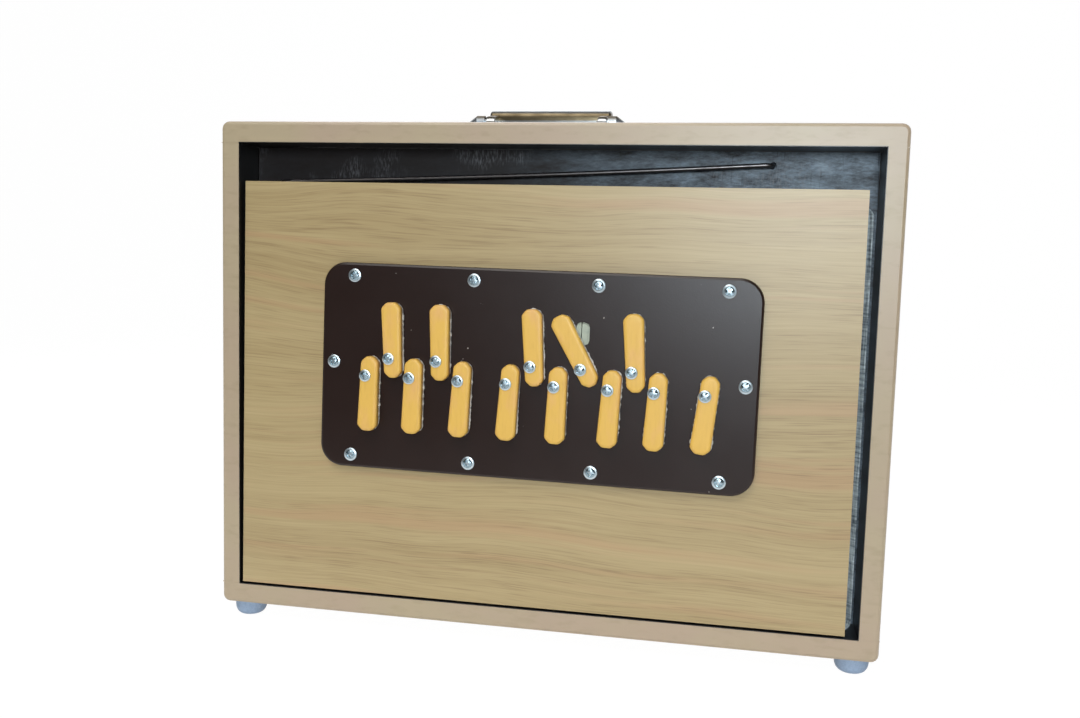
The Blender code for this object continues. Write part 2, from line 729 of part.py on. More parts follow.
def make_pump():
    left, right, bottom, top = pump_sides()
    outer = inset_sides((left, right, bottom - SEAT, top - RESERVOIR_TOP_DROP), PUMP_SIDE_INSET)
    rails = ring(
        outer, inset_sides(outer, PUMP_RAIL), lambda z: RAIL_FRONT, lambda z: RAIL_BACK, "pump_frame"
    )
    place("pump_frame", rails, "plain_wood")
    cloth = ring(
        outer,
        inset_sides(outer, BELLOWS_WALL),
        lambda z: RAIL_BACK + SEAT,
        lambda z: PUMP_FACE - SEAT,
        "pump_bellows",
    )
    place("pump_bellows", cloth, "bellows_cloth")
    hinge = empty("pump_hinge", location=(0, CASE_BACK, bottom))
    board = box((left, -PUMP_THICKNESS, 0), (right, 0, top - bottom), "pump_board")
    port_up = PORT_HEIGHT_UP - bottom
    port = prism(port_outline(port_up), -2 * PUMP_THICKNESS, PUMP_THICKNESS, "intake_port")
    place("pump_board", carved(board, [port]), "beige_lacquer", parent=hinge)
    flap_up = port_up + PORT_HEIGHT / 2 + FLAP_MARGIN
    make_flap("intake_valve_flap", -PUMP_THICKNESS, -1, parent=hinge, up=flap_up)


def grip_outline():
    """The grip's oval section as (y, z) from its middle."""
    angles = [2 * math.pi * i / ROUND_SIDES for i in range(ROUND_SIDES)]
    return [(GRIP_HALF_WIDTH * math.cos(a), GRIP_HALF_HEIGHT * math.sin(a)) for a in angles]


def link_outline(start, start_radius, end, end_radius):
    """A strap round two circles, as (y, z) points."""
    heading = math.degrees(math.atan2(end[1] - start[1], end[0] - start[0]))
    around_start = arc(start, start_radius, heading + 90, heading + 270, 8)
    around_end = arc(end, end_radius, heading - 90, heading + 90, 8)
    return around_start + around_end


def along_x(outline, x0, x1, name):
    """An outline of (y, z) points carried from x0 to x1."""
    return loft([[(x, y, z) for y, z in outline] for x in (x0, x1)], name)


def make_handle():
    middle = (CASE_FRONT + CASE_BACK) / 2
    pivot = empty(
        "handle_pivot",
        location=(HANDLE_OFF_CENTER, middle - HANDLE_BEFORE_MIDDLE, CASE_TOP + HANDLE_PIVOT_HEIGHT),
    )
    grip_up = GRIP_REST_GAP + GRIP_HALF_HEIGHT - HANDLE_PIVOT_HEIGHT
    oval = [(y + HANDLE_LEG, z + grip_up) for y, z in grip_outline()]
    grip = along_x(oval, -GRIP_HALF_LENGTH, GRIP_HALF_LENGTH, "handle_grip")
    grip = ease_edges(grip, lambda a, b: near(a.x, b.x), 0.0010, 1)
    joined = []
    leg_outer = GRIP_HALF_LENGTH - LEG_INSET
    for side in (-1, 1):
        strap = link_outline((0, 0), EYE_RADIUS, (HANDLE_LEG, grip_up), 0.7 * EYE_RADIUS)
        joined.append(along_x(strap, side * (leg_outer - LEG_WIDTH), side * leg_outer, "leg"))
        pin = [(y, z) for y, z in circle((0, 0), PIN_RADIUS * math.cos(math.pi / BORE_SIDES))]
        pin_ends = (side * (leg_outer - LEG_WIDTH / 2), side * (leg_outer + PIN_LENGTH))
        joined.append(along_x(pin, *pin_ends, "pin"))
    place("handle_grip", carved(grip, joined, "UNION"), "chrome", parent=pivot, smooth=True)
    for name, side in (("left", -1), ("right", 1)):
        make_bracket(f"handle_bracket_{name}", side, leg_outer + BRACKET_GAP, pivot.location)


def make_bracket(name, side, start, pivot):
    """A foot plate with a hood over the pin, open on the handle's side."""
    base = -HANDLE_PIVOT_HEIGHT + SEAT
    hood = []
    stations = ((0, EYE_RADIUS), (HOOD_FLAT, EYE_RADIUS), (BRACKET_LENGTH - 0.001, HOOD_END_RADIUS))
    for along, radius in stations:
        top = -HANDLE_PIVOT_HEIGHT + BRACKET_SHEET + radius
        center_up = min(0, top) if radius < EYE_RADIUS else 0
        around = arc((0, center_up), radius, 0, 180, 8)
        outline = [(radius, base)] + around + [(-radius, base)]
        hood.append([(side * (start + along), y, z) for y, z in outline])
    deep = BRACKET_DEPTH / 2
    lifted = base + BRACKET_SHEET
    plate = [(-deep, base), (deep, base), (deep, lifted), (-deep, lifted)]
    foot = along_x(plate, side * (start - 0.0001), side * (start + BRACKET_LENGTH), "bracket_foot")
    bore_ends = (side * (start - 0.001), side * (start + HOOD_FLAT - 0.0008))
    bore = along_x(circle((0, 0), PIN_RADIUS + SCREW_PLAY), *bore_ends, "bore")
    mesh = carved(carved(foot, [loft(hood, "hood")], "UNION"), [bore])
    place(name, mesh, "chrome", location=pivot, smooth=True)


def main():
    clear_scene()
    make_end_plank("case_top", CASE_TOP, INNER_TOP)
    make_end_plank("case_bottom", CASE_BASE, INNER_BASE)
    make_side_plank("case_left", -1)
    make_side_plank("case_right", 1)
    make_feet()
    make_center_board()
    flap_up = PORT_HEIGHT_UP + PORT_HEIGHT / 2 + FLAP_MARGIN
    make_flap("transfer_valve_flap", CENTER_FRONT, -1, up=flap_up)
    make_spring()
    hinge_place = (FRONT_MIDDLE, CASE_FRONT, FRONT_BASE)
    front_hinge = empty("front_hinge", location=hinge_place, turn=(-FRONT_LEAN, 0, 0))
    plate_place = (PLATE_OFF_CENTER, 0, PLATE_UP)
    plate_turn = (0, -PLATE_LEAN, 0)
    plate_frame = empty("plate_frame", parent=front_hinge, location=plate_place, turn=plate_turn)
    bpy.context.view_layer.update()
    make_front_board(front_hinge, plate_frame)
    make_tab_plate(plate_frame)
    make_tabs(plate_frame)
    make_reservoir_bellows()
    make_pump()
    make_handle()
    bpy.context.view_layer.update()


main()
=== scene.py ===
import json
import math

import bmesh
import bpy
import numpy as np
from mathutils import Matrix, Vector


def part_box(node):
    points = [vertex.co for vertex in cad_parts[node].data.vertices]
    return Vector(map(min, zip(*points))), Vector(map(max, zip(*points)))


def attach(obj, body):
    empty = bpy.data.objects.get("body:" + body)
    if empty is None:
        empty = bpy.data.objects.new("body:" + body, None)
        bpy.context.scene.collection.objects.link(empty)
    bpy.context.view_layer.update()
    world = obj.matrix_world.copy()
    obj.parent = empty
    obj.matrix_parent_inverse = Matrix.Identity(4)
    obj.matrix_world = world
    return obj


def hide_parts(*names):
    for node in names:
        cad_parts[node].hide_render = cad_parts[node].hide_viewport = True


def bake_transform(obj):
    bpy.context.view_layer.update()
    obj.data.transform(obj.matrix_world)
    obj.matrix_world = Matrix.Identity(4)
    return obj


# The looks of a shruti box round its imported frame: a finish for every node, then tabs, screws, cloths,
# spring, handle, feet and glue lines, the studio and the camera. Metres; X right, Y away from the player,
# Z up.

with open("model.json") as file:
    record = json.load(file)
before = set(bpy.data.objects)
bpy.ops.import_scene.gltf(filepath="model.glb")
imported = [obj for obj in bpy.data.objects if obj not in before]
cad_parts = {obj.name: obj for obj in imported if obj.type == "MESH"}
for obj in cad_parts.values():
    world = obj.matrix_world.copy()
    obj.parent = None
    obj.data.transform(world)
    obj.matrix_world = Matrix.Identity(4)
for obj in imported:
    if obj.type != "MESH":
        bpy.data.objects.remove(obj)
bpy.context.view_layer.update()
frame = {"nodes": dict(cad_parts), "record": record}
print("frame loaded:", len(frame["nodes"]), "nodes")


def tone(red, green, blue):  # a screen colour, 0 to 255, turned into linear light by the sRGB curve
    share = np.array([red, green, blue]) / 255
    linear = np.where(share <= 0.04045, share / 12.92, ((share + 0.055) / 1.055) ** 2.4)
    return (*map(float, linear), 1.0)


def cornersOf(node):  # a node's lowest and highest corners at rest
    return [np.array(corner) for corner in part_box(node)]


# Where things lie, from the frame
caseLow, caseHigh = cornersOf("case_bottom")
topLow, topHigh = cornersOf("case_top")
leftLow, leftHigh = cornersOf("case_left")
boardHigh = cornersOf("front_board")[1]
centerLow = cornersOf("center_board")[0]
caseFront, caseBack = caseLow[1], caseHigh[1]
innerHalf, innerBase, innerTop = -leftHigh[0], caseHigh[2], topLow[2]
pivotOf = {joint["name"]: np.array(joint["pos_m"]) for joint in frame["record"]["behaviour"]["joints"]}

board = {
    "lean": math.radians(0.9),  # how far the front board's top stands in
    "thickness": 0.0060,
    "plateTurn": math.radians(-0.6),  # the tab plate's turn on the board, anticlockwise for the player
    "plateFace": 0.0043,  # from the board's face to the plate's face
}
boardRight = np.array([1.0, 0, 0])
boardUp = np.array([0, math.sin(board["lean"]), math.cos(board["lean"])])
boardOut = np.array([0, -math.cos(board["lean"]), math.sin(board["lean"])])


def turnedPair(right, up, angle):  # two directions of a face turned anticlockwise as its viewer sees it
    return math.cos(angle) * right + math.sin(angle) * up, math.cos(angle) * up - math.sin(angle) * right


plateRight, plateUp = turnedPair(boardRight, boardUp, board["plateTurn"])


# Shader maths: a socket that adds its Math nodes when it meets an operator
class Wire:
    def __init__(self, web, socket):
        self.web = web
        self.socket = socket

    def __add__(self, other):
        return self.web.maths("ADD", self, other)

    def __sub__(self, other):
        return self.web.maths("SUBTRACT", self, other)

    def __rsub__(self, other):
        return self.web.maths("SUBTRACT", other, self)

    def __mul__(self, other):
        return self.web.maths("MULTIPLY", self, other)

    def __lt__(self, other):
        return self.web.maths("LESS_THAN", self, other)

    def __gt__(self, other):
        return self.web.maths("GREATER_THAN", self, other)

    def __abs__(self):
        return self.web.maths("ABSOLUTE", self, 0)

    __radd__ = __add__
    __rmul__ = __mul__


# One node tree, of a material or of the world
class Web:
    def __init__(self, tree):
        self.tree = tree

    # Any node: its type, its settings, then the values or wires of its inputs
    def add(self, kind, settings, inputs, output=0):
        made = self.tree.nodes.new(kind)
        for key, value in settings.items():
            setattr(made, key, value)
        for key, value in inputs.items():
            self.feed(made.inputs[key], value)
        return Wire(self, made.outputs[output])

    def feed(self, socket, value):
        if isinstance(value, Wire):
            self.tree.links.new(value.socket, socket)
        else:
            socket.default_value = value

    def maths(self, operation, first, second):
        return self.add("ShaderNodeMath", {"operation": operation}, {0: first, 1: second})

    # Start below low, end above high, straight between
    def ramp(self, wire, low, high, start=0.0, end=1.0):
        return self.add("ShaderNodeMapRange", {"clamp": True}, {0: wire, 1: low, 2: high, 3: start, 4: end})

    def split(self, wire):  # the X, Y and Z of a place or direction
        made = self.add("ShaderNodeSeparateXYZ", {}, {0: wire}).socket.node
        return [Wire(self, output) for output in made.outputs]


# One material and the nodes that feed it
class Paint(Web):
    def __init__(self, name):
        self.material = bpy.data.materials.new(name)
        self.material.use_nodes = True
        super().__init__(self.material.node_tree)
        self.shader = self.tree.nodes["Principled BSDF"]
        self.place = self.add("ShaderNodeTexCoord", {}, {}, "Object")

    def mix(self, amount, low, high):
        return self.add("ShaderNodeMix", {"data_type": "RGBA"}, {0: amount, 6: low, 7: high}, 2)

    # A noise pattern: size in metres, stretch divides that size along X, Y and Z, turn is in radians
    def noise(self, size, stretch=(1, 1, 1), detail=4.0, rough=0.55, turn=(0, 0, 0), place=None):
        scale = tuple(share / size for share in stretch)
        inputs = {"Vector": place or self.place, "Scale": scale, "Rotation": turn}
        placed = self.add("ShaderNodeMapping", {}, inputs)
        inputs = {"Vector": placed, "Scale": 1.0, "Detail": detail, "Roughness": rough}
        return self.add("ShaderNodeTexNoise", {}, inputs)

    def finish(self, colour, roughness, bump=None, depth=0.0, **fixed):
        self.feed(self.shader.inputs["Base Color"], colour)
        self.feed(self.shader.inputs["Roughness"], roughness)
        for key, value in fixed.items():
            self.shader.inputs[key.replace("_", " ")].default_value = value
        if bump:
            inputs = {"Height": bump, "Strength": 1.0, "Distance": depth}
            self.feed(self.shader.inputs["Normal"], self.add("ShaderNodeBump", {}, inputs, "Normal"))
        return self.material


# In each look, a Band is the part of a pattern that a ramp spreads from 0 to 1, and a Share is its strength


def lacquerPaint(name, shadeInside):  # pale lacquered planks; the second argument paints near-black shade on the faces that look into the recess
    look = {
        "tan": tone(182, 164, 134), "pink": tone(182, 160, 136), "grain": tone(160, 140, 110),
        "recessShade": tone(13, 12, 13), "overlap": 0.0004,
        "cloud": {"size": 0.060, "detail": 3.0}, "cloudBand": (0.35, 0.65),
        "fleck": {"size": 0.0035, "stretch": (0.35, 0.6, 1.0), "detail": 5.0},
        "fleckBand": (0.52, 0.80), "fleckShare": 0.45,
        "rough": 0.36, "roughSpread": 0.12, "bump": 0.00005,
        "coat": {"Coat_Weight": 0.5, "Coat_Roughness": 0.36},
    }
    paint = Paint(name)
    cloud = paint.ramp(paint.noise(**look["cloud"]), *look["cloudBand"])
    fleck = paint.noise(**look["fleck"])
    colour = paint.mix(cloud, look["tan"], look["pink"])
    colour = paint.mix(paint.ramp(fleck, *look["fleckBand"]) * look["fleckShare"], colour, look["grain"])
    if shadeInside:
        x, _, z = paint.split(paint.place)
        edge = look["overlap"]
        # painted shade: the dark inner faces of the recess are taken to near black
        shadedInside = (abs(x) < innerHalf + edge) * (z > innerBase - edge) * (z < innerTop + edge)
        colour = paint.mix(shadedInside, colour, look["recessShade"])
    rough = look["rough"] + fleck * look["roughSpread"]
    return paint.finish(colour, rough, fleck, look["bump"], **look["coat"])


def recessPaint():  # dark paint, with wiped blue-grey marks under a painted sheen that grows to the right, drips and rubbed patches
    look = {
        "base": tone(26, 18, 16), "sheen": tone(158, 178, 194),
        "drip": tone(12, 11, 13), "scuff": tone(150, 150, 154),
        "marks": {"size": 0.016, "stretch": (0.55, 1, 1.8), "detail": 8.0, "rough": 0.75,
                  "turn": (0, 0.5, 0)},
        "marksBand": (0.34, 0.66), "sheenSideBand": (-0.03, 0.11), "sheenSideLeast": 0.02,
        "hairs": {"size": 0.0018, "stretch": (0.5, 1, 1.4), "rough": 0.6, "turn": (0, -0.7, 0)},
        "hairsBand": (0.2, 0.7), "hairsShare": 0.6, "hairsLeast": 0.4,
        "drips": {"size": 0.0042, "stretch": (1, 1, 0.10), "detail": 3.0},
        "dripsBand": (0.60, 0.68), "dripsSide": (0.08, 0.12), "dripsShare": 0.8,
        "strokes": {"size": 0.0008, "stretch": (1, 1, 0.22), "detail": 3.0}, "strokesBand": (0.46, 0.70),
        "patch": {"size": 0.040, "detail": 3.0}, "patchBand": (0.52, 0.66), "rubbedShare": 0.42,
        "rough": 0.50, "roughSpread": 0.1, "bump": 0.00012, "gloss": {"Specular_IOR_Level": 0.3},
    }
    paint = Paint("recessPaint")
    x = paint.split(paint.place)[0]
    hairs = paint.noise(**look["hairs"])
    # painted sheen: the blue-grey of the wiped marks grows stronger to the right
    side = paint.ramp(x, *look["sheenSideBand"]) + look["sheenSideLeast"]
    wipedSheen = paint.ramp(paint.noise(**look["marks"]), *look["marksBand"]) * side
    wipedSheen = wipedSheen * (paint.ramp(hairs, *look["hairsBand"]) * look["hairsShare"] + look["hairsLeast"])
    colour = paint.mix(wipedSheen, look["base"], look["sheen"])
    drips = paint.ramp(paint.noise(**look["drips"]), *look["dripsBand"]) * paint.ramp(x, *look["dripsSide"])
    colour = paint.mix(drips * look["dripsShare"], colour, look["drip"])
    strokes = paint.ramp(paint.noise(**look["strokes"]), *look["strokesBand"])
    rubbed = strokes * paint.ramp(paint.noise(**look["patch"]), *look["patchBand"]) * look["rubbedShare"]
    colour = paint.mix(rubbed, colour, look["scuff"])
    rough = look["rough"] - wipedSheen * look["roughSpread"]
    return paint.finish(colour, rough, hairs, look["bump"], **look["gloss"])


def laminatePaint():  # oak laminate: long streaks, drifting bands and short dark pores along X
    look = {
        "pale": tone(190, 168, 123), "mid": tone(168, 144, 100),
        "deep": tone(136, 108, 70), "rose": tone(184, 145, 106),
        "wander": {"size": 0.13, "stretch": (0.7, 1, 1.2), "detail": 1.0}, "wanderRise": 0.035,
        "band": {"size": 0.016, "stretch": (0.04, 1, 1.0), "detail": 4.0, "rough": 0.6},
        "streak": {"size": 0.0011, "stretch": (0.009, 1, 1.0), "detail": 3.0, "rough": 0.65},
        "pore": {"size": 0.0006, "stretch": (0.022, 1, 1.0), "detail": 1.0, "rough": 0.5},
        "blush": {"size": 0.010, "stretch": (0.03, 1, 1.0), "detail": 2.0, "rough": 0.5},
        "lineBand": (0.35, 0.65), "blushBand": (0.55, 0.68), "blushShare": 0.5,
        "poreBand": (0.54, 0.72), "poreWhere": (0.30, 0.60), "poreShare": 0.55,
        "rough": 0.36, "roughSpread": 0.10, "bump": 0.00003,
        "coat": {"Coat_Weight": 0.5, "Coat_Roughness": 0.36},
    }
    paint = Paint("oakLaminate")
    x, y, z = paint.split(paint.place)
    risen = z + paint.noise(**look["wander"]) * look["wanderRise"]
    grown = paint.add("ShaderNodeCombineXYZ", {}, {0: x, 1: y, 2: risen})
    patterns = ("band", "streak", "pore", "blush")
    band, streak, pore, blush = (paint.noise(**look[key], place=grown) for key in patterns)
    lines = paint.ramp(streak, *look["lineBand"]) * 0.5 + paint.ramp(band, *look["lineBand"]) * 0.5
    colour = paint.mix(lines, look["pale"], look["mid"])
    colour = paint.mix(paint.ramp(blush, *look["blushBand"]) * look["blushShare"], colour, look["rose"])
    pores = paint.ramp(pore, *look["poreBand"]) * paint.ramp(band, *look["poreWhere"]) * look["poreShare"]
    colour = paint.mix(pores, colour, look["deep"])
    rough = look["rough"] + pore * look["roughSpread"]
    return paint.finish(colour, rough, pore, look["bump"], **look["coat"])


def platePaint():  # dark brown satin plastic with a fine moulded skin and a little dust
    look = {
        "base": tone(32, 13, 6), "worn": tone(36, 18, 12), "dust": tone(190, 180, 172),
        "skin": {"size": 0.0009, "detail": 3.0},
        "cloud": {"size": 0.030}, "cloudBand": (0.4, 0.75), "cloudShare": 0.35,
        "speck": {"size": 0.0030, "detail": 1.0}, "speckBand": (0.815, 0.83),
        "rough": 0.30, "roughSpread": 0.06, "bump": 0.00003, "gloss": {"Specular_IOR_Level": 0.5},
    }
    paint = Paint("plateSatin")
    cloud = paint.noise(**look["cloud"])
    colour = paint.mix(paint.ramp(cloud, *look["cloudBand"]) * look["cloudShare"], look["base"], look["worn"])
    colour = paint.mix(paint.ramp(paint.noise(**look["speck"]), *look["speckBand"]), colour, look["dust"])
    rough = look["rough"] + cloud * look["roughSpread"]
    return paint.finish(colour, rough, paint.noise(**look["skin"]), look["bump"], **look["gloss"])


def tabPaint():  # yellow-orange moulded plastic, cloudy with handling
    look = {
        "gold": tone(236, 188, 90), "warm": tone(238, 182, 120), "edge": tone(208, 154, 66),
        "cloud": {"size": 0.012, "stretch": (1, 1, 0.5)}, "cloudBand": (0.50, 0.75), "cloudShare": 0.8,
        "scrape": {"size": 0.0016, "stretch": (1, 1, 0.15), "detail": 5.0}, "scrapeBand": (0.5, 0.8),
        "scrapeShare": 0.3, "rough": 0.34, "roughSpread": 0.16, "bump": 0.00006,
    }
    paint = Paint("tabPlastic")
    cloud = paint.ramp(paint.noise(**look["cloud"]), *look["cloudBand"])
    scrape = paint.noise(**look["scrape"])
    colour = paint.mix(cloud * look["cloudShare"], look["gold"], look["warm"])
    colour = paint.mix(paint.ramp(scrape, *look["scrapeBand"]) * look["scrapeShare"], colour, look["edge"])
    return paint.finish(colour, look["rough"] + scrape * look["roughSpread"], scrape, look["bump"])


def clothPaint(name, base, thread, size, rough=0.9, bump=0.00025):  # woven or fibrous stuff
    look = {"across": (1, 1, 0.12), "along": (0.12, 0.12, 1), "detail": 3.0, "weaveBand": (0.38, 0.62)}
    paint = Paint(name)
    threads = [paint.noise(size, look[key], look["detail"]) for key in ("across", "along")]
    weave = (threads[0] + threads[1]) * 0.5
    return paint.finish(paint.mix(paint.ramp(weave, *look["weaveBand"]), base, thread), rough, weave, bump)


def metalPaint(name, clean, dull, rough, size=0.004):  # metal with faint smears and handling marks
    look = {
        "dullBand": (0.45, 0.75), "dullShare": 0.5, "roughBand": (0.4, 0.8), "roughSpread": 0.14,
        "bump": 0.00002,
    }
    paint = Paint(name)
    smear = paint.noise(size)
    colour = paint.mix(paint.ramp(smear, *look["dullBand"]) * look["dullShare"], clean, dull)
    rough = rough + paint.ramp(smear, *look["roughBand"]) * look["roughSpread"]
    return paint.finish(colour, rough, smear, look["bump"], Metallic=1.0)


def handlePaint():  # plated steel with a painted reflection: pale below, a dark brown band round its middle and paler at the crown
    look = {
        "paleReflection": tone(214, 222, 230), "darkReflection": tone(116, 104, 82), "deep": tone(72, 62, 46),
        "reflectionFrom": (0.0030, 0.0062), "reflectionTo": (0.0100, 0.0122),  # heights above the case
        "crownHighlight": 0.8,
        "smear": {"size": 0.006, "stretch": (0.4, 1, 1)}, "smearBand": (0.35, 0.7),
        "rough": 0.26, "roughSpread": 0.14, "bump": 0.00002,
    }
    paint = Paint("handlePlating")
    z = paint.split(paint.place)[2]
    smear = paint.noise(**look["smear"])
    lower = paint.ramp(z, *(topHigh[2] + np.array(look["reflectionFrom"])))
    upper = paint.ramp(z, *(topHigh[2] + np.array(look["reflectionTo"])))
    # painted reflection: the dark brown band stands in for the room the plating mirrors, and the pale parts
    # stand in for the lit case top and the light above
    reflectionTone = paint.mix(paint.ramp(smear, *look["smearBand"]), look["darkReflection"], look["deep"])
    colour = paint.mix(lower - upper * look["crownHighlight"], look["paleReflection"], reflectionTone)
    rough = look["rough"] + smear * look["roughSpread"]
    return paint.finish(colour, rough, smear, look["bump"], Metallic=1.0)


def rubberPaint():  # pale blue-grey rubber, finely grained
    look = {
        "pale": tone(158, 176, 200), "dark": tone(128, 146, 172), "size": 0.0012, "grainBand": (0.4, 0.7),
        "grainShare": 0.5, "rough": 0.55, "roughSpread": 0.1, "bump": 0.0001,
    }
    paint = Paint("footRubber")
    grain = paint.noise(look["size"])
    colour = paint.mix(paint.ramp(grain, *look["grainBand"]) * look["grainShare"], look["pale"], look["dark"])
    return paint.finish(colour, look["rough"] + grain * look["roughSpread"], grain, look["bump"])


def woodPaint():  # bare wood of the pump's frame, streaked along X
    look = {
        "pale": tone(196, 164, 118), "deep": tone(160, 124, 80), "streakBand": (0.35, 0.7),
        "streak": {"size": 0.004, "stretch": (0.06, 1, 1), "detail": 6.0},
        "rough": 0.55, "roughSpread": 0.1, "bump": 0.00008,
    }
    paint = Paint("railWood")
    streak = paint.noise(**look["streak"])
    colour = paint.mix(paint.ramp(streak, *look["streakBand"]), look["pale"], look["deep"])
    return paint.finish(colour, look["rough"] + streak * look["roughSpread"], streak, look["bump"])


finishes = {  # by the record's material slots
    "beige_lacquer": lacquerPaint("caseLacquer", True),
    "dark_paint": recessPaint(),
    "oak_laminate": laminatePaint(),
    "brown_satin": platePaint(),
    "yellow_plastic": tabPaint(),
    "zinc_screw": metalPaint("screwPlating", tone(160, 182, 192), tone(96, 116, 130), rough=0.24, size=0.002),
    "brass": metalPaint("reedBrass", tone(176, 178, 160), tone(134, 140, 130), rough=0.36),
    "spring_steel": metalPaint("springSteel", tone(120, 116, 116), tone(70, 66, 66), rough=0.3),
    "bellows_cloth": clothPaint("bellowsCloth", tone(78, 88, 96), tone(196, 208, 212), size=0.0017),
    "leather": clothPaint("flapLeather", tone(150, 112, 80), tone(172, 134, 98), size=0.004, rough=0.75,
                          bump=0.0001),
    "plain_wood": woodPaint(),
    "chrome": handlePaint(),
    "foot_rubber": rubberPaint(),
}
extraFinishes = {
    "washer": metalPaint("washerPlating", tone(206, 218, 224), tone(172, 186, 194), rough=0.34, size=0.003),
    "felt": clothPaint("feltPad", tone(214, 208, 198), tone(240, 238, 232), size=0.0006, rough=1.0,
                       bump=0.0003),
    "pump": lacquerPaint("pumpLacquer", False),  # the pump board is pale on every face
}
for part in frame["record"]["subparts"]:
    for spot in frame["nodes"][part["node"]].material_slots:
        spot.material = finishes[part["material_slot"]]
for spot in frame["nodes"]["pump_board"].material_slots:
    spot.material = extraFinishes["pump"]
print("finishes made:", len(finishes) + len(extraFinishes))


# Three coordinates, each a row, a column or a whole grid, as one grid of points
def gridOf(x, y, z):
    return np.stack(np.broadcast_arrays(x, y, z), axis=2)


# Rings round an axis: each ring has a radius and a height
def ringRows(radius, height, sides):
    angle = np.linspace(0, 2 * math.pi, sides, endpoint=False)
    return gridOf(radius[:, None] * np.cos(angle), radius[:, None] * np.sin(angle), height[:, None])


# One more row at each end, shrunk to the middle of the row beside it
def closeEnds(rows):
    ends = np.broadcast_to(rows[[0, -1]].mean(axis=1, keepdims=True), (2, *rows.shape[1:]))
    return np.concatenate([ends[:1], rows, ends[1:]])


# A mesh from rows of points: each row is a closed loop, and rows shrunk to a point close the ends
def loopShell(rows):
    levels, count = rows.shape[:2]
    low = np.arange((levels - 1) * count).reshape(levels - 1, count)
    right = np.roll(low, -1, axis=1)
    faces = np.stack([low, right, right + count, low + count], axis=2)
    return rows.reshape(-1, 3), faces.reshape(-1, 4)


mending = {"merge": 1e-6, "sliver": 1e-7}  # points this near become one, and edges this short go


# One object from shells: smooth is the sharpest turn, in degrees, that still shades smooth
def makePiece(name, shells, finish, body, smooth=35):
    starts = np.cumsum([0] + [len(points) for points, _ in shells[:-1]])
    faces = [shellFaces + start for (_, shellFaces), start in zip(shells, starts)]
    mesh = bpy.data.meshes.new(name)
    mesh.from_pydata(np.concatenate([points for points, _ in shells]), [], np.concatenate(faces))
    work = bmesh.new()
    work.from_mesh(mesh)
    bmesh.ops.remove_doubles(work, verts=work.verts, dist=mending["merge"])
    bmesh.ops.dissolve_degenerate(work, edges=work.edges, dist=mending["sliver"])
    bmesh.ops.recalc_face_normals(work, faces=work.faces)
    work.to_mesh(mesh)
    work.free()
    mesh.shade_smooth()
    mesh.set_sharp_from_angle(angle=math.radians(smooth))
    piece = bpy.data.objects.new(name, mesh)
    bpy.context.scene.collection.objects.link(piece)
    mesh.materials.append(finish)
    if body:  # cloth and wire that cross a joint get no body
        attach(piece, body)
    return piece


# A face-on shape put in place: (right, up, out) offsets from a point, along three directions
def setOut(offsets, origin, right, up, out):
    return origin + offsets[..., 0:1] * right + offsets[..., 1:2] * up + offsets[..., 2:3] * out


# Corner points filled in to many points, then averaged along the loop so that the corners go round
def softOutline(corners, count, softness):
    closed = np.vstack([corners, corners[:1]])
    run = np.concatenate([[0], np.cumsum(np.linalg.norm(np.diff(closed, axis=0), axis=1))])
    spots = np.linspace(0, run[-1], count, endpoint=False)
    outline = np.stack([np.interp(spots, run, closed[:, k]) for k in (0, 1)], axis=1)
    kernel = np.hanning(softness + 2)[1:-1]
    kernel /= kernel.sum()
    reach = softness // 2
    wrapped = np.vstack([outline[-reach:], outline, outline[:reach]])
    return np.stack([np.convolve(wrapped[:, k], kernel, "valid") for k in (0, 1)], axis=1)


# The inward side step of each point of an outline that runs anticlockwise
def inwardOf(outline):
    ahead = np.roll(outline, -1, axis=0) - np.roll(outline, 1, axis=0)
    return np.stack([-ahead[:, 1], ahead[:, 0]], axis=1) / np.linalg.norm(ahead, axis=1, keepdims=True)


# Rings of (right, up) points, each set out at its own level
def lifted(rings, levels):
    return np.concatenate([rings, np.broadcast_to(levels[:, None, None], (*rings.shape[:2], 1))], axis=2)


tabShape = {
    "tail": 0.0117, "reach": 0.0338, "tailHalf": 0.0054, "endHalf": 0.0061, "cut": 0.0033, "offset": 0.0020,
    "back": 0.0046, "felt": 0.0016, "thickness": 0.0050, "foot": 0.0003, "points": 96, "softness": 3,
    "bevel": 0.0021, "bevelDrop": 0.0017, "bevelPower": 1.1, "bevelRings": 7,
    "faceRings": 5, "faceShare": 0.8,
}
feltShape = {
    "rag": 0.00055, "softness": 9, "nearShare": 0.35, "farShare": 0.25, "farStep": 5, "drift": 0.35,
    "fullness": 0.3, "least": -0.4, "most": 1.5,
    "layers": ((0.2, 0.00005), (0.9, 0.0004), (1.0, 0.0009)),  # share of the rag, and height
    "topLayer": (0.6, 0.0001),  # share of the rag, and depth under the tab
}
tabLeans = {  # lean as the tab stands, anticlockwise, and whether it reaches up or down
    "c": (-1.2, -1), "c_sharp": (3.3, 1), "d": (-0.8, -1), "d_sharp": (2.1, 1), "e": (-2.6, -1),
    "f": (-2.8, -1), "f_sharp": (4.4, 1), "g": (-1.2, -1), "g_sharp": (29.4, 1), "a": (-2.6, -1),
    "a_sharp": (4.5, 1), "b": (-2.3, -1), "high_c": (-6.1, -1),
}


def tabOutline(row, softness):  # the eight-sided tab round its pivot, anticlockwise
    s = tabShape
    half = [(s["tailHalf"] - s["cut"], -s["tail"]), (s["tailHalf"], -s["tail"] + s["cut"]),
            (s["endHalf"], s["reach"] - s["cut"]), (s["endHalf"] - s["cut"], s["reach"])]
    outline = softOutline(np.array(half + [(-x, z) for x, z in reversed(half)]), s["points"], softness)
    outline[:, 0] += s["offset"]
    return outline if row > 0 else (outline * (1, -1))[::-1]


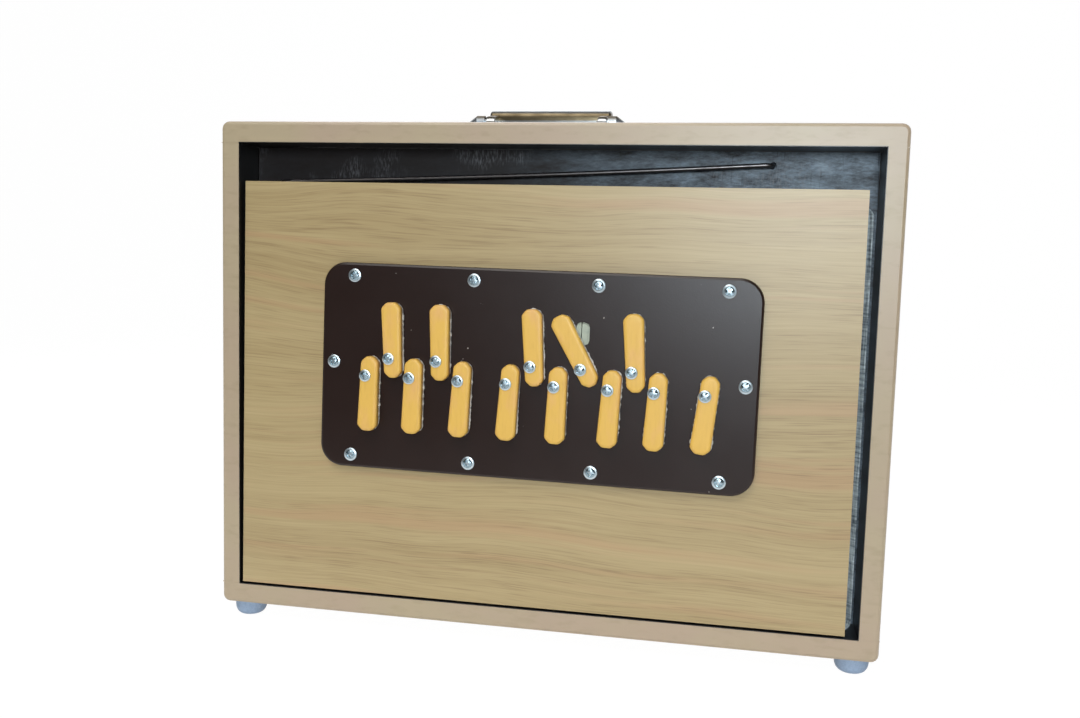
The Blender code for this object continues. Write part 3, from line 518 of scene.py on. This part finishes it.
# The lever: upright sides eased at the foot, a shoulder whose inset is a power of one less the cosine and
# whose height is the sine of the same quarter turn, then a flat face drawn in to its middle
def leverRows(row):
    s = tabShape
    outline = tabOutline(row, s["softness"])
    middle = outline.mean(axis=0)
    turn = np.linspace(0, math.pi / 2, s["bevelRings"])
    insets = np.concatenate([[s["foot"], 0.0], s["bevel"] * (1 - np.cos(turn)) ** s["bevelPower"]])
    heights = np.concatenate([[0, s["foot"]], s["thickness"] - s["bevelDrop"] * (1 - np.sin(turn))])
    sides = outline + inwardOf(outline) * insets[:, None, None]
    shares = np.linspace(s["faceShare"], 0, s["faceRings"])[:, None, None]
    face = middle + (sides[-1] - middle) * shares
    floor = np.broadcast_to(middle, (1, *outline.shape))
    levels = np.concatenate([[0], heights, np.full(s["faceRings"], s["thickness"])])
    return lifted(np.concatenate([floor, sides, face]), s["back"] + s["felt"] + levels)


# The felt pad: the tab's outline stepped out by smoothed random numbers and a slow wave, and fullest at
# mid thickness
def feltRows(row, seed):
    s = feltShape
    random = np.random.default_rng(seed)
    outline = tabOutline(row, s["softness"])
    rough = random.normal(0, 1, (len(outline), 1))
    ragged = (rough + np.roll(rough, 1, axis=0)) * s["nearShare"]
    ragged = ragged + np.roll(rough, s["farStep"], axis=0) * s["farShare"]
    wave = s["drift"] * np.sin(np.linspace(0, 2 * math.pi, len(outline), endpoint=False) + seed)[:, None]
    stepOut = np.clip(ragged + wave + s["fullness"], s["least"], s["most"])
    topShare, topGap = s["topLayer"]
    shares, heights = np.array([*s["layers"], (topShare, tabShape["felt"] - topGap)]).T
    rings = outline + inwardOf(outline) * (-s["rag"] * shares[:, None, None] * stepOut)
    middle = np.broadcast_to(outline.mean(axis=0), (1, *outline.shape))
    levels = np.concatenate([heights[:1], heights, heights[-1:]])
    return lifted(np.concatenate([middle, rings, middle]), tabShape["back"] + levels)


for seed, (note, (lean, row)) in enumerate(tabLeans.items()):
    tab = f"tab_{note}"
    place = (pivotOf[f"{tab}_pivot"], *turnedPair(plateRight, plateUp, math.radians(lean)), boardOut)
    lever = loopShell(setOut(leverRows(row), *place))
    piece = makePiece(f"lever_{note}", [lever], finishes["yellow_plastic"], tab, smooth=50)
    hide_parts(tab)
    felt = loopShell(setOut(feltRows(row, seed), *place))
    makePiece(f"felt_{note}", [felt], extraFinishes["felt"], tab, smooth=60)
print("tabs made:", len(tabLeans))

screwShape = {
    "washer": 0.0036, "head": 0.0027, "plateWasher": 0.0040, "plateHead": 0.0030, "overTab": 0.0002,
    "rim": 0.0007, "rimShare": 0.9, "dome": 0.0013, "domePower": 0.75, "headSides": 64, "headRings": 24,
    "crossHalf": 0.00060, "crossReach": 0.0021, "crossDepth": 0.0013, "crossFloor": 0.0001, "soft": 0.0002,
    "turnStep": 0.7, "plateTurnStep": 1.3, "washerEase": 0.0004, "washerSides": 48,
    "washerRise": (0, 0, 0.3, 0.6, 1, 1),  # shares of the rim, from the middle below to the middle above
}
plateScrews = {  # where the ten stand, from the plate's middle, which is found from the f_sharp tab's pivot
    "pivotRight": -0.0003, "pivotUp": 0.0060, "halfWidth": 0.1322, "halfHeight": 0.0629,
    "corner": 0.1122, "insetEnd": 0.0078, "insetSide": 0.0079, "leftUp": 0.002, "rightUp": 0.001,
}


# A dome with a cross sunk in it. Height is the rim and the dome, which is a power of one less the radius
# squared, less the deeper of two crossed bars with soft sides. The last two rings are the flat underside.
def headShell(place, seat, head, turn):
    s = screwShape
    rings = s["headRings"]
    radius = np.concatenate([np.linspace(0, head, rings), [head, 0]])
    angle = np.linspace(0, 2 * math.pi, s["headSides"], endpoint=False)
    x = radius[:, None] * np.cos(angle)
    z = radius[:, None] * np.sin(angle)
    dome = s["rimShare"] * s["rim"] + s["dome"] * np.clip(1 - (radius / head) ** 2, 0, 1) ** s["domePower"]
    a = x * math.cos(turn) + z * math.sin(turn)
    b = z * math.cos(turn) - x * math.sin(turn)

    def bar(across, along):
        side = np.clip((s["crossHalf"] - abs(across)) / s["soft"] + 0.5, 0, 1)
        return side * np.clip((s["crossReach"] - abs(along)) / s["soft"] + 0.5, 0, 1)

    height = dome[:, None] - s["crossDepth"] * np.maximum(bar(a, b), bar(b, a))
    height[:rings] = np.maximum(height[:rings], s["crossFloor"])
    height[rings:] = 0
    return loopShell(setOut(gridOf(x, z, seat + height), place, plateRight, plateUp, boardOut))


# A flat disc washer with eased rims; it has no hole, because the head covers its middle
def washerShell(place, seat, washer):
    s = screwShape
    eased = washer - s["washerEase"]
    radius = np.array([0, eased, washer, washer, eased, 0])
    rows = ringRows(radius, np.array(s["washerRise"]) * s["rim"] + seat, s["washerSides"])
    return loopShell(setOut(rows, place, plateRight, plateUp, boardOut))


# Heads and washers at many places, as one piece of each; every head is turned on from the one before
def screwPieces(kind, places, seat, head, washer, turnStep):
    heads = [headShell(place, seat, head, turnStep * count) for count, place in enumerate(places)]
    washers = [washerShell(place, seat, washer) for place in places]
    made = makePiece(f"{kind}_screws", heads, finishes["zinc_screw"], "front", smooth=45)
    makePiece(f"{kind}_washers", washers, extraFinishes["washer"], "front", smooth=45)
    return made


tabSeat = tabShape["back"] + tabShape["felt"] + tabShape["thickness"] + screwShape["overTab"]
pivotPlaces = [pivotOf[f"tab_{note}_pivot"] for note in tabLeans]
pivotScrews = screwPieces("pivot", pivotPlaces, tabSeat, screwShape["head"], screwShape["washer"],
                          screwShape["turnStep"])
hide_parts(*[f"tab_screw_{note}" for note in tabLeans])

s = plateScrews
plateMiddle = pivotOf["tab_f_sharp_pivot"] - plateRight * s["pivotRight"] - plateUp * s["pivotUp"]
offsets = [(share * s["corner"], side * (s["halfHeight"] - s["insetEnd"]))
           for side in (1, -1) for share in (-1, -1 / 3, 1 / 3, 1)]
offsets += [(-s["halfWidth"] + s["insetSide"], s["leftUp"]), (s["halfWidth"] - s["insetSide"], s["rightUp"])]
platePlaces = [plateMiddle + plateRight * x + plateUp * z for x, z in offsets]
screwPieces("plate", platePlaces, board["plateFace"], screwShape["plateHead"], screwShape["plateWasher"],
            screwShape["plateTurnStep"])
print("screws made:", len(pivotPlaces) + len(platePlaces))

bellowsShape = {
    "cloth": 0.0008, "corner": 0.006, "cornerSides": 8, "inset": 0.0005, "foldIn": 0.0062, "foldPower": 0.7,
    "steps": 32, "reservoirGap": 0.0006, "pumpGap": 0.0004, "blendGap": 0.001, "blendHeight": 0.15,
}


# A rectangle with round corners, anticlockwise: four quarter circles round four centres
def roundedLoop(left, right, bottom, top, radius, sides):
    loop = []
    places = ((right - radius, top - radius), (left + radius, top - radius),
              (left + radius, bottom + radius), (right - radius, bottom + radius))
    for quarter, center in enumerate(places):
        angle = np.linspace(0, math.pi / 2, sides + 1) + quarter * math.pi / 2
        loop.append(np.stack([np.cos(angle), np.sin(angle)], axis=1) * radius + center)
    return np.concatenate(loop)


# Folded cloth round a box: each loop is stepped in by a power of a raised cosine of its depth, and lies
# between the back and front faces, which give Y for a Z
def bellowsShell(sides, frontOf, backOf, folds):
    s = bellowsShape
    left, right, bottom, top = sides
    rows = []
    for share in np.linspace(0, 1, s["steps"] + 1):
        step = s["foldIn"] * (0.5 - 0.5 * math.cos(2 * math.pi * folds * share)) ** s["foldPower"]
        inner = (left + step, right - step, bottom + step, top - step)
        loop = roundedLoop(*inner, s["corner"], s["cornerSides"])
        y = backOf(loop[:, 1]) * (1 - share) + frontOf(loop[:, 1]) * share
        rows.append(np.column_stack([loop[:, 0], y, loop[:, 1]]))
    return loopShell(np.array(rows))


def bellowsPiece(name, node, frontOf, backOf, folds, end):
    low, high = cornersOf(node)
    inset = bellowsShape["inset"]
    sides = (low[0] + inset, high[0] - inset, low[2] + inset, high[2] - inset)
    shell = bellowsShell(sides, frontOf, backOf, folds)
    piece = makePiece(name, [shell], finishes["bellows_cloth"], None, smooth=80)
    skin = piece.modifiers.new("cloth", "SOLIDIFY")
    skin.thickness = bellowsShape["cloth"]
    skin.offset = 0
    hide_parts(node)
    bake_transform(piece)


def boardBack(z):  # the front board's leaning back face, and the cloth's gap behind it
    rise = z - pivotOf["front_hinge"][2]
    return caseFront + board["thickness"] + rise * math.tan(board["lean"]) + bellowsShape["reservoirGap"]


def flatAt(y):  # an upright face at one depth
    return lambda z: np.full_like(z, y)


gap, height = bellowsShape["blendGap"], bellowsShape["blendHeight"]
reservoirGap, pumpGap = bellowsShape["reservoirGap"], bellowsShape["pumpGap"]
bellowsPiece("reservoir_cloth", "reservoir_bellows", boardBack, flatAt(centerLow[1] - reservoirGap),
             1, (0, boardBack(height) + gap, height))
pumpLow, pumpHigh = cornersOf("pump_bellows")
bellowsPiece("pump_cloth", "pump_bellows", flatAt(pumpHigh[1] - pumpGap), flatAt(pumpLow[1] + pumpGap),
             2, (0, pumpHigh[1] - gap, height))
print("bellows made")

springShape = {
    "wire": 0.0014, "wireSides": 16, "holeX": 0.1310, "holeDrop": 0.0086, "coilX": -0.1650, "endX": 0.1196,
    "bend": 0.0040, "coil": 0.0050, "turns": 1.5, "rise": 0.0015, "pitch": 0.0032, "bow": 0.38,
    "hook": 0.0028, "proud": 0.0003, "sunk": 0.004, "tip": 0.0024,
    "armPoints": 38, "coilPoints": 70, "reachPoints": 10, "bendPoints": 10,
    "blendFrom": 0.006, "blendTo": 0.013, "blendHeight": 0.28,
}


# A round wire along a path: each ring stands square to the path, with its side set by the upright
def wireShell(path, radius, sides):
    ahead = np.gradient(path, axis=0)
    ahead /= np.linalg.norm(ahead, axis=1, keepdims=True)
    side = np.cross(ahead, [0.0, 0.0, 1.0])
    side /= np.linalg.norm(side, axis=1, keepdims=True)
    upright = np.cross(side, ahead)
    angle = np.linspace(0, 2 * math.pi, sides, endpoint=False)[None, :, None]
    rings = path[:, None] + radius * (np.cos(angle) * side[:, None] + np.sin(angle) * upright[:, None])
    return loopShell(closeEnds(rings))


def arcPath(center, radius, start, end, low, high, count):  # a level arc that may climb
    angle = np.radians(np.linspace(start, end, count))
    x = center[0] + radius * np.cos(angle)
    y = center[1] + radius * np.sin(angle)
    return np.column_stack([x, y, np.linspace(low, high, count)])


# From the hole in the centre board: a bend, a bowed arm, the coil, a straight arm and the hook in the
# front board. The bowed arm's height blends its share of the way with that share squared.
def springPath():
    s = springShape
    holeX, holeZ = s["holeX"], topLow[2] - s["holeDrop"]
    rear = centerLow[1] + s["proud"] - s["bend"]
    middle = rear - s["coil"]
    front = middle - s["coil"]
    high = boardHigh[2] + s["rise"]
    low = high - s["turns"] * s["pitch"]
    count = s["bendPoints"]
    start = np.array([[holeX, centerLow[1] + s["sunk"], holeZ]])
    bendX = holeX - s["bend"]
    bend = arcPath((bendX, rear + s["bend"]), s["bend"], 0, -90, holeZ, holeZ, count)
    share = np.linspace(1, 0, s["armPoints"] + 2)[1:-1]
    armX = s["coilX"] + (bendX - s["coilX"]) * share
    armZ = high + (holeZ - high) * ((1 - s["bow"]) * share + s["bow"] * share ** 2)
    arm = np.column_stack([armX, np.full(s["armPoints"], rear), armZ])
    last = 90 + 360 * s["turns"]
    coil = arcPath((s["coilX"], middle), s["coil"], 90, last, high, low, s["coilPoints"])
    reachX = np.linspace(s["coilX"], s["endX"], s["reachPoints"] + 2)[1:-1]
    reach = np.column_stack([reachX, np.full(s["reachPoints"], front), np.full(s["reachPoints"], low)])
    hook = arcPath((s["endX"], front - s["hook"]), s["hook"], 90, 0, low, low, count)
    tip = hook[-1:] - [0, s["tip"], 0]
    return np.concatenate([start, bend, arm, coil, reach, hook, tip])


s = springShape
springWire = makePiece("spring_wire", [wireShell(springPath(), s["wire"], s["wireSides"])],
                       finishes["spring_steel"], None)
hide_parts("reservoir_spring")
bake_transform(springWire)
print("spring made")

handleShape = {
    "halfLength": 0.0380, "halfWidth": 0.0065, "halfHeight": 0.0061, "gap": 0.0004, "edge": 0.0016,
    "power": 2.6, "sides": 40, "edgeRings": 7, "leg": 0.0170, "legShort": 0.002, "legWidth": 0.0058,
    "legInset": 0.0007, "legTip": 1e-5, "legPower": 5, "legSides": 24, "legRows": 14, "eye": 0.0031,
    "pin": 0.0016, "pinReach": 0.0038, "pinSunk": 0.0006, "pinSpare": 0.001, "pinEdge": 0.0003,
    "pinPower": 2,
}


def superRing(sides, power):  # a superellipse of half width 1: cosine and sine, each to the power 2 / power
    angle = np.linspace(0, 2 * math.pi, sides, endpoint=False)
    return [np.sign(part) * abs(part) ** (2 / power) for part in (np.cos(angle), np.sin(angle))]


# A bar along X whose section is a superellipse, drawn in at its ends along a quarter circle
def barShell(middle, halfLength, halfWidth, halfHeight, edge, power):
    across, upward = superRing(handleShape["sides"], power)
    turn = np.linspace(0, math.pi / 2, handleShape["edgeRings"])
    drawn, along = edge * (1 - np.sin(turn)), edge * (1 - np.cos(turn)) - halfLength
    drawn = np.concatenate([drawn, drawn[::-1]])
    along = np.concatenate([along, -along[::-1]])
    y = np.maximum(halfWidth - drawn, 0)[:, None] * across
    z = np.maximum(halfHeight - drawn, 0)[:, None] * upward
    return loopShell(closeEnds(gridOf(along[:, None], y, z)) + middle)


# A strap from the pivot to the grip: its half height grows along a quarter circle up to the eye's radius,
# then stays
def legShell(pivot, side, far):
    s = handleShape
    wide, tall = superRing(s["legSides"], s["legPower"])
    reach = np.linspace(-s["eye"], far[0], s["legRows"])[:, None]
    half = np.sqrt(np.clip(1 - np.clip(-reach / s["eye"], 0, 1) ** 2, 0, 1)) * s["eye"] + s["legTip"]
    lift = far[1] * np.clip(reach / far[0], 0, 1)
    middle = side * (s["halfLength"] - s["legInset"] - s["legWidth"] / 2)
    rows = gridOf(middle + wide * s["legWidth"] / 2, reach, lift + half * tall)
    return loopShell(closeEnds(rows) + pivot)


s = handleShape
handlePivot = pivotOf["handle_fold"]
gripRise = topHigh[2] + s["gap"] + s["halfHeight"] - handlePivot[2]
gripMiddle = handlePivot + [0, s["leg"], gripRise]
handleShells = [barShell(gripMiddle, s["halfLength"], s["halfWidth"], s["halfHeight"], s["edge"], s["power"])]
for side in (-1, 1):
    handleShells.append(legShell(handlePivot, side, (s["leg"] - s["legShort"], gripRise)))
    pinMiddle = handlePivot + [side * (s["halfLength"] + s["pinReach"] / 2 - s["pinSunk"]), 0, 0]
    pinHalf = s["pinReach"] / 2 + s["pinSpare"]
    handleShells.append(barShell(pinMiddle, pinHalf, s["pin"], s["pin"], s["pinEdge"], s["pinPower"]))
handlePiece = makePiece("handle_bail", handleShells, finishes["chrome"], "handle", smooth=50)
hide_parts("handle_grip")
print("handle made")

footShape = {
    "radius": 0.0099, "sole": 0.0050, "inset": 0.0135, "sides": 48, "rimRings": 10, "rimPower": 0.85,
    "rimShare": 0.62, "gap": 0.0002,
}


# A foot round its upright: the radius grows from the sole by a power of the sine of a quarter turn while the
# height grows as one less the cosine, then a straight neck up to the case
def footShell(x, y):
    f = footShape
    turn = np.linspace(0, math.pi / 2, f["rimRings"])
    rim = f["sole"] + (f["radius"] - f["sole"]) * np.sin(turn) ** f["rimPower"]
    neck = caseLow[2] - f["gap"]
    radius = np.concatenate([[0], rim, [f["radius"], 0]])
    height = np.concatenate([[0], f["rimShare"] * caseLow[2] * (1 - np.cos(turn)), [neck, neck]])
    return loopShell(ringRows(radius, height, f["sides"]) + [x, y, 0])


footShells = [footShell(side * (caseHigh[0] - footShape["inset"]), y)
              for y in (caseFront + footShape["inset"], caseBack - footShape["inset"]) for side in (-1, 1)]
feet = makePiece("rubber_feet", footShells, finishes["foot_rubber"], "case", smooth=50)
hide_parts(*[f"foot_{end}_{side}" for end in ("front", "rear") for side in ("left", "right")])
print("feet made")

# The glued joints of the case: a thin sheet of lacquered glue fills each gap between two planks
glue = {"shy": 0.00012}  # how far it stops short of the planks' faces
glueShells = []
for low, high in ((caseHigh[2], leftLow[2]), (leftHigh[2], topLow[2])):
    for side in (-1, 1):
        inner, outer = side * (innerHalf + glue["shy"]), side * (caseHigh[0] - glue["shy"])
        front, back = caseFront + glue["shy"], caseBack - glue["shy"]
        rows = gridOf([[inner, outer, outer, inner]], [[front, front, back, back]], [[low], [high]])
        glueShells.append(loopShell(closeEnds(rows)))
makePiece("joint_glue", glueShells, finishes["beige_lacquer"], "case", smooth=30)
print("glue lines made:", len(glueShells))

lamps = {
    "keyLamp": {"place": (-0.3, -1.2, 1.8), "target": (0, 0, 0.15), "power": 19.0, "size": 1.2,
                "colour": (1.0, 0.98, 0.94)},
    "windowLamp": {"place": (0.27, -1.60, 0.50), "target": (0.1, 0, 0.2), "power": 14.0, "size": 0.45,
                   "colour": (0.83, 0.93, 1.0)},
    "rearLamp": {"place": (-0.5, 1.5, 1.5), "target": (0, 0, 0.15), "power": 5.0, "size": 1.0,
                 "colour": (1, 1, 1)},
}
studio = {
    "world": 0.11, "worldBehind": 0.6, "worldBand": (0.05, 0.35),  # the room's light in front and behind
    "floor": tone(246, 246, 246), "white": tone(255, 255, 255), "floorRough": 0.9, "floorGlow": 0.93,
    "glow": 1.05, "floorFront": -0.40, "floorBack": 1.6, "floorCurve": 0.8, "wall": 4.0, "floorHalf": 5.0,
    "floorDrop": 0.0002, "curveRows": 16,
}
view = {
    "eye": (0.11327, -0.59278, 0.22669), "roll": 0.0278, "pitch": 0.0994, "yaw": 0.1872,
    "focal": 1022.17, "width": 1080, "sensor": 36.0, "nearest": 0.01,
}


# A sheet that is floor in front and curves up behind: height is a quarter circle between two straights
def backdrop():
    s = studio
    span = np.linspace(0, math.pi / 2, s["curveRows"])
    y = np.concatenate([[s["floorFront"]], s["floorBack"] + s["floorCurve"] * np.sin(span),
                        [s["floorBack"] + s["floorCurve"]]])
    z = np.concatenate([[0.0], s["floorCurve"] * (1 - np.cos(span)), [s["wall"]]]) - s["floorDrop"]
    grid = gridOf([[-s["floorHalf"], s["floorHalf"]]], y[:, None], z[:, None])
    low = np.arange((len(y) - 1) * 2).reshape(-1, 2)
    faces = np.stack([low[:, 0], low[:, 1], low[:, 1] + 2, low[:, 0] + 2], axis=1)
    mesh = bpy.data.meshes.new("backdrop")
    mesh.from_pydata(grid.reshape(-1, 3), [], faces)
    mesh.shade_smooth()
    sheet = bpy.data.objects.new("backdrop", mesh)
    bpy.context.scene.collection.objects.link(sheet)
    paint = Paint("studioFloor")
    paint.finish(s["floor"], s["floorRough"])
    path = paint.add("ShaderNodeLightPath", {}, {}).socket.node
    camera, glossy, through = (Wire(paint, path.outputs[f"Is {ray} Ray"])
                               for ray in ("Camera", "Glossy", "Transmission"))
    seen = paint.add("ShaderNodeClamp", {}, {0: camera + glossy + through})
    glow = paint.add("ShaderNodeEmission", {}, {"Color": s["white"], "Strength": s["glow"]})
    lit = Wire(paint, paint.shader.outputs[0])
    both = paint.add("ShaderNodeMixShader", {}, {0: seen * s["floorGlow"], 1: lit, 2: glow})
    paint.feed(paint.tree.nodes["Material Output"].inputs["Surface"], both)
    mesh.materials.append(paint.material)


def addLamp(name, place, target, power, size, colour):
    data = bpy.data.lights.new(name, "AREA")
    data.energy = power
    data.color = colour
    data.size = size
    made = bpy.data.objects.new(name, data)
    bpy.context.scene.collection.objects.link(made)
    made.location = place
    made.rotation_euler = (Vector(target) - Vector(place)).to_track_quat("-Z", "Y").to_euler()


# The room is dim on the player's side and light behind the object, and plain white for the camera
def addWorld():
    made = bpy.data.worlds.new("studio")
    bpy.context.scene.world = made
    made.use_nodes = True
    room = Web(made.node_tree)
    ahead = room.split(room.add("ShaderNodeTexCoord", {}, {}, "Generated"))[1]
    light = room.ramp(ahead, *studio["worldBand"], studio["world"], studio["worldBehind"])
    shade = room.ramp(room.add("ShaderNodeLightPath", {}, {}, "Is Camera Ray"), 0, 1, light, studio["glow"])
    background = room.tree.nodes["Background"]
    room.feed(background.inputs["Strength"], shade)
    room.feed(background.inputs["Color"], studio["white"])


# The solved view: turned by yaw, then pitch, then roll, from a level look along Y
def addCamera():
    turns = [view[key] for key in ("roll", "pitch", "yaw")]
    cr, sr, cp, sp, cy, sy = (form(turn) for turn in turns for form in (math.cos, math.sin))
    rollTurn = np.array([[cr, -sr, 0], [sr, cr, 0], [0, 0, 1]])
    pitchTurn = np.array([[1, 0, 0], [0, cp, -sp], [0, sp, cp]])
    yawTurn = np.array([[cy, 0, sy], [0, 1, 0], [-sy, 0, cy]])
    level = np.array([[1, 0, 0], [0, 0, -1], [0, 1, 0]])
    right, down, ahead = rollTurn @ pitchTurn @ yawTurn @ level
    eye = np.array(view["eye"]) + [0, caseFront, caseLow[2]]
    data = bpy.data.cameras.new("view")
    data.sensor_width = view["sensor"]
    data.lens = view["sensor"] * view["focal"] / view["width"]
    data.clip_start = view["nearest"]
    made = bpy.data.objects.new("view", data)
    bpy.context.scene.collection.objects.link(made)
    made.matrix_world = Matrix([*np.column_stack([right, -down, -ahead, eye]).tolist(), [0, 0, 0, 1]])
    bpy.context.scene.camera = made


backdrop()
for name, values in lamps.items():
    addLamp(name, **values)
addWorld()
addCamera()
bpy.context.scene.view_settings.view_transform = "Standard"
print("studio ready")
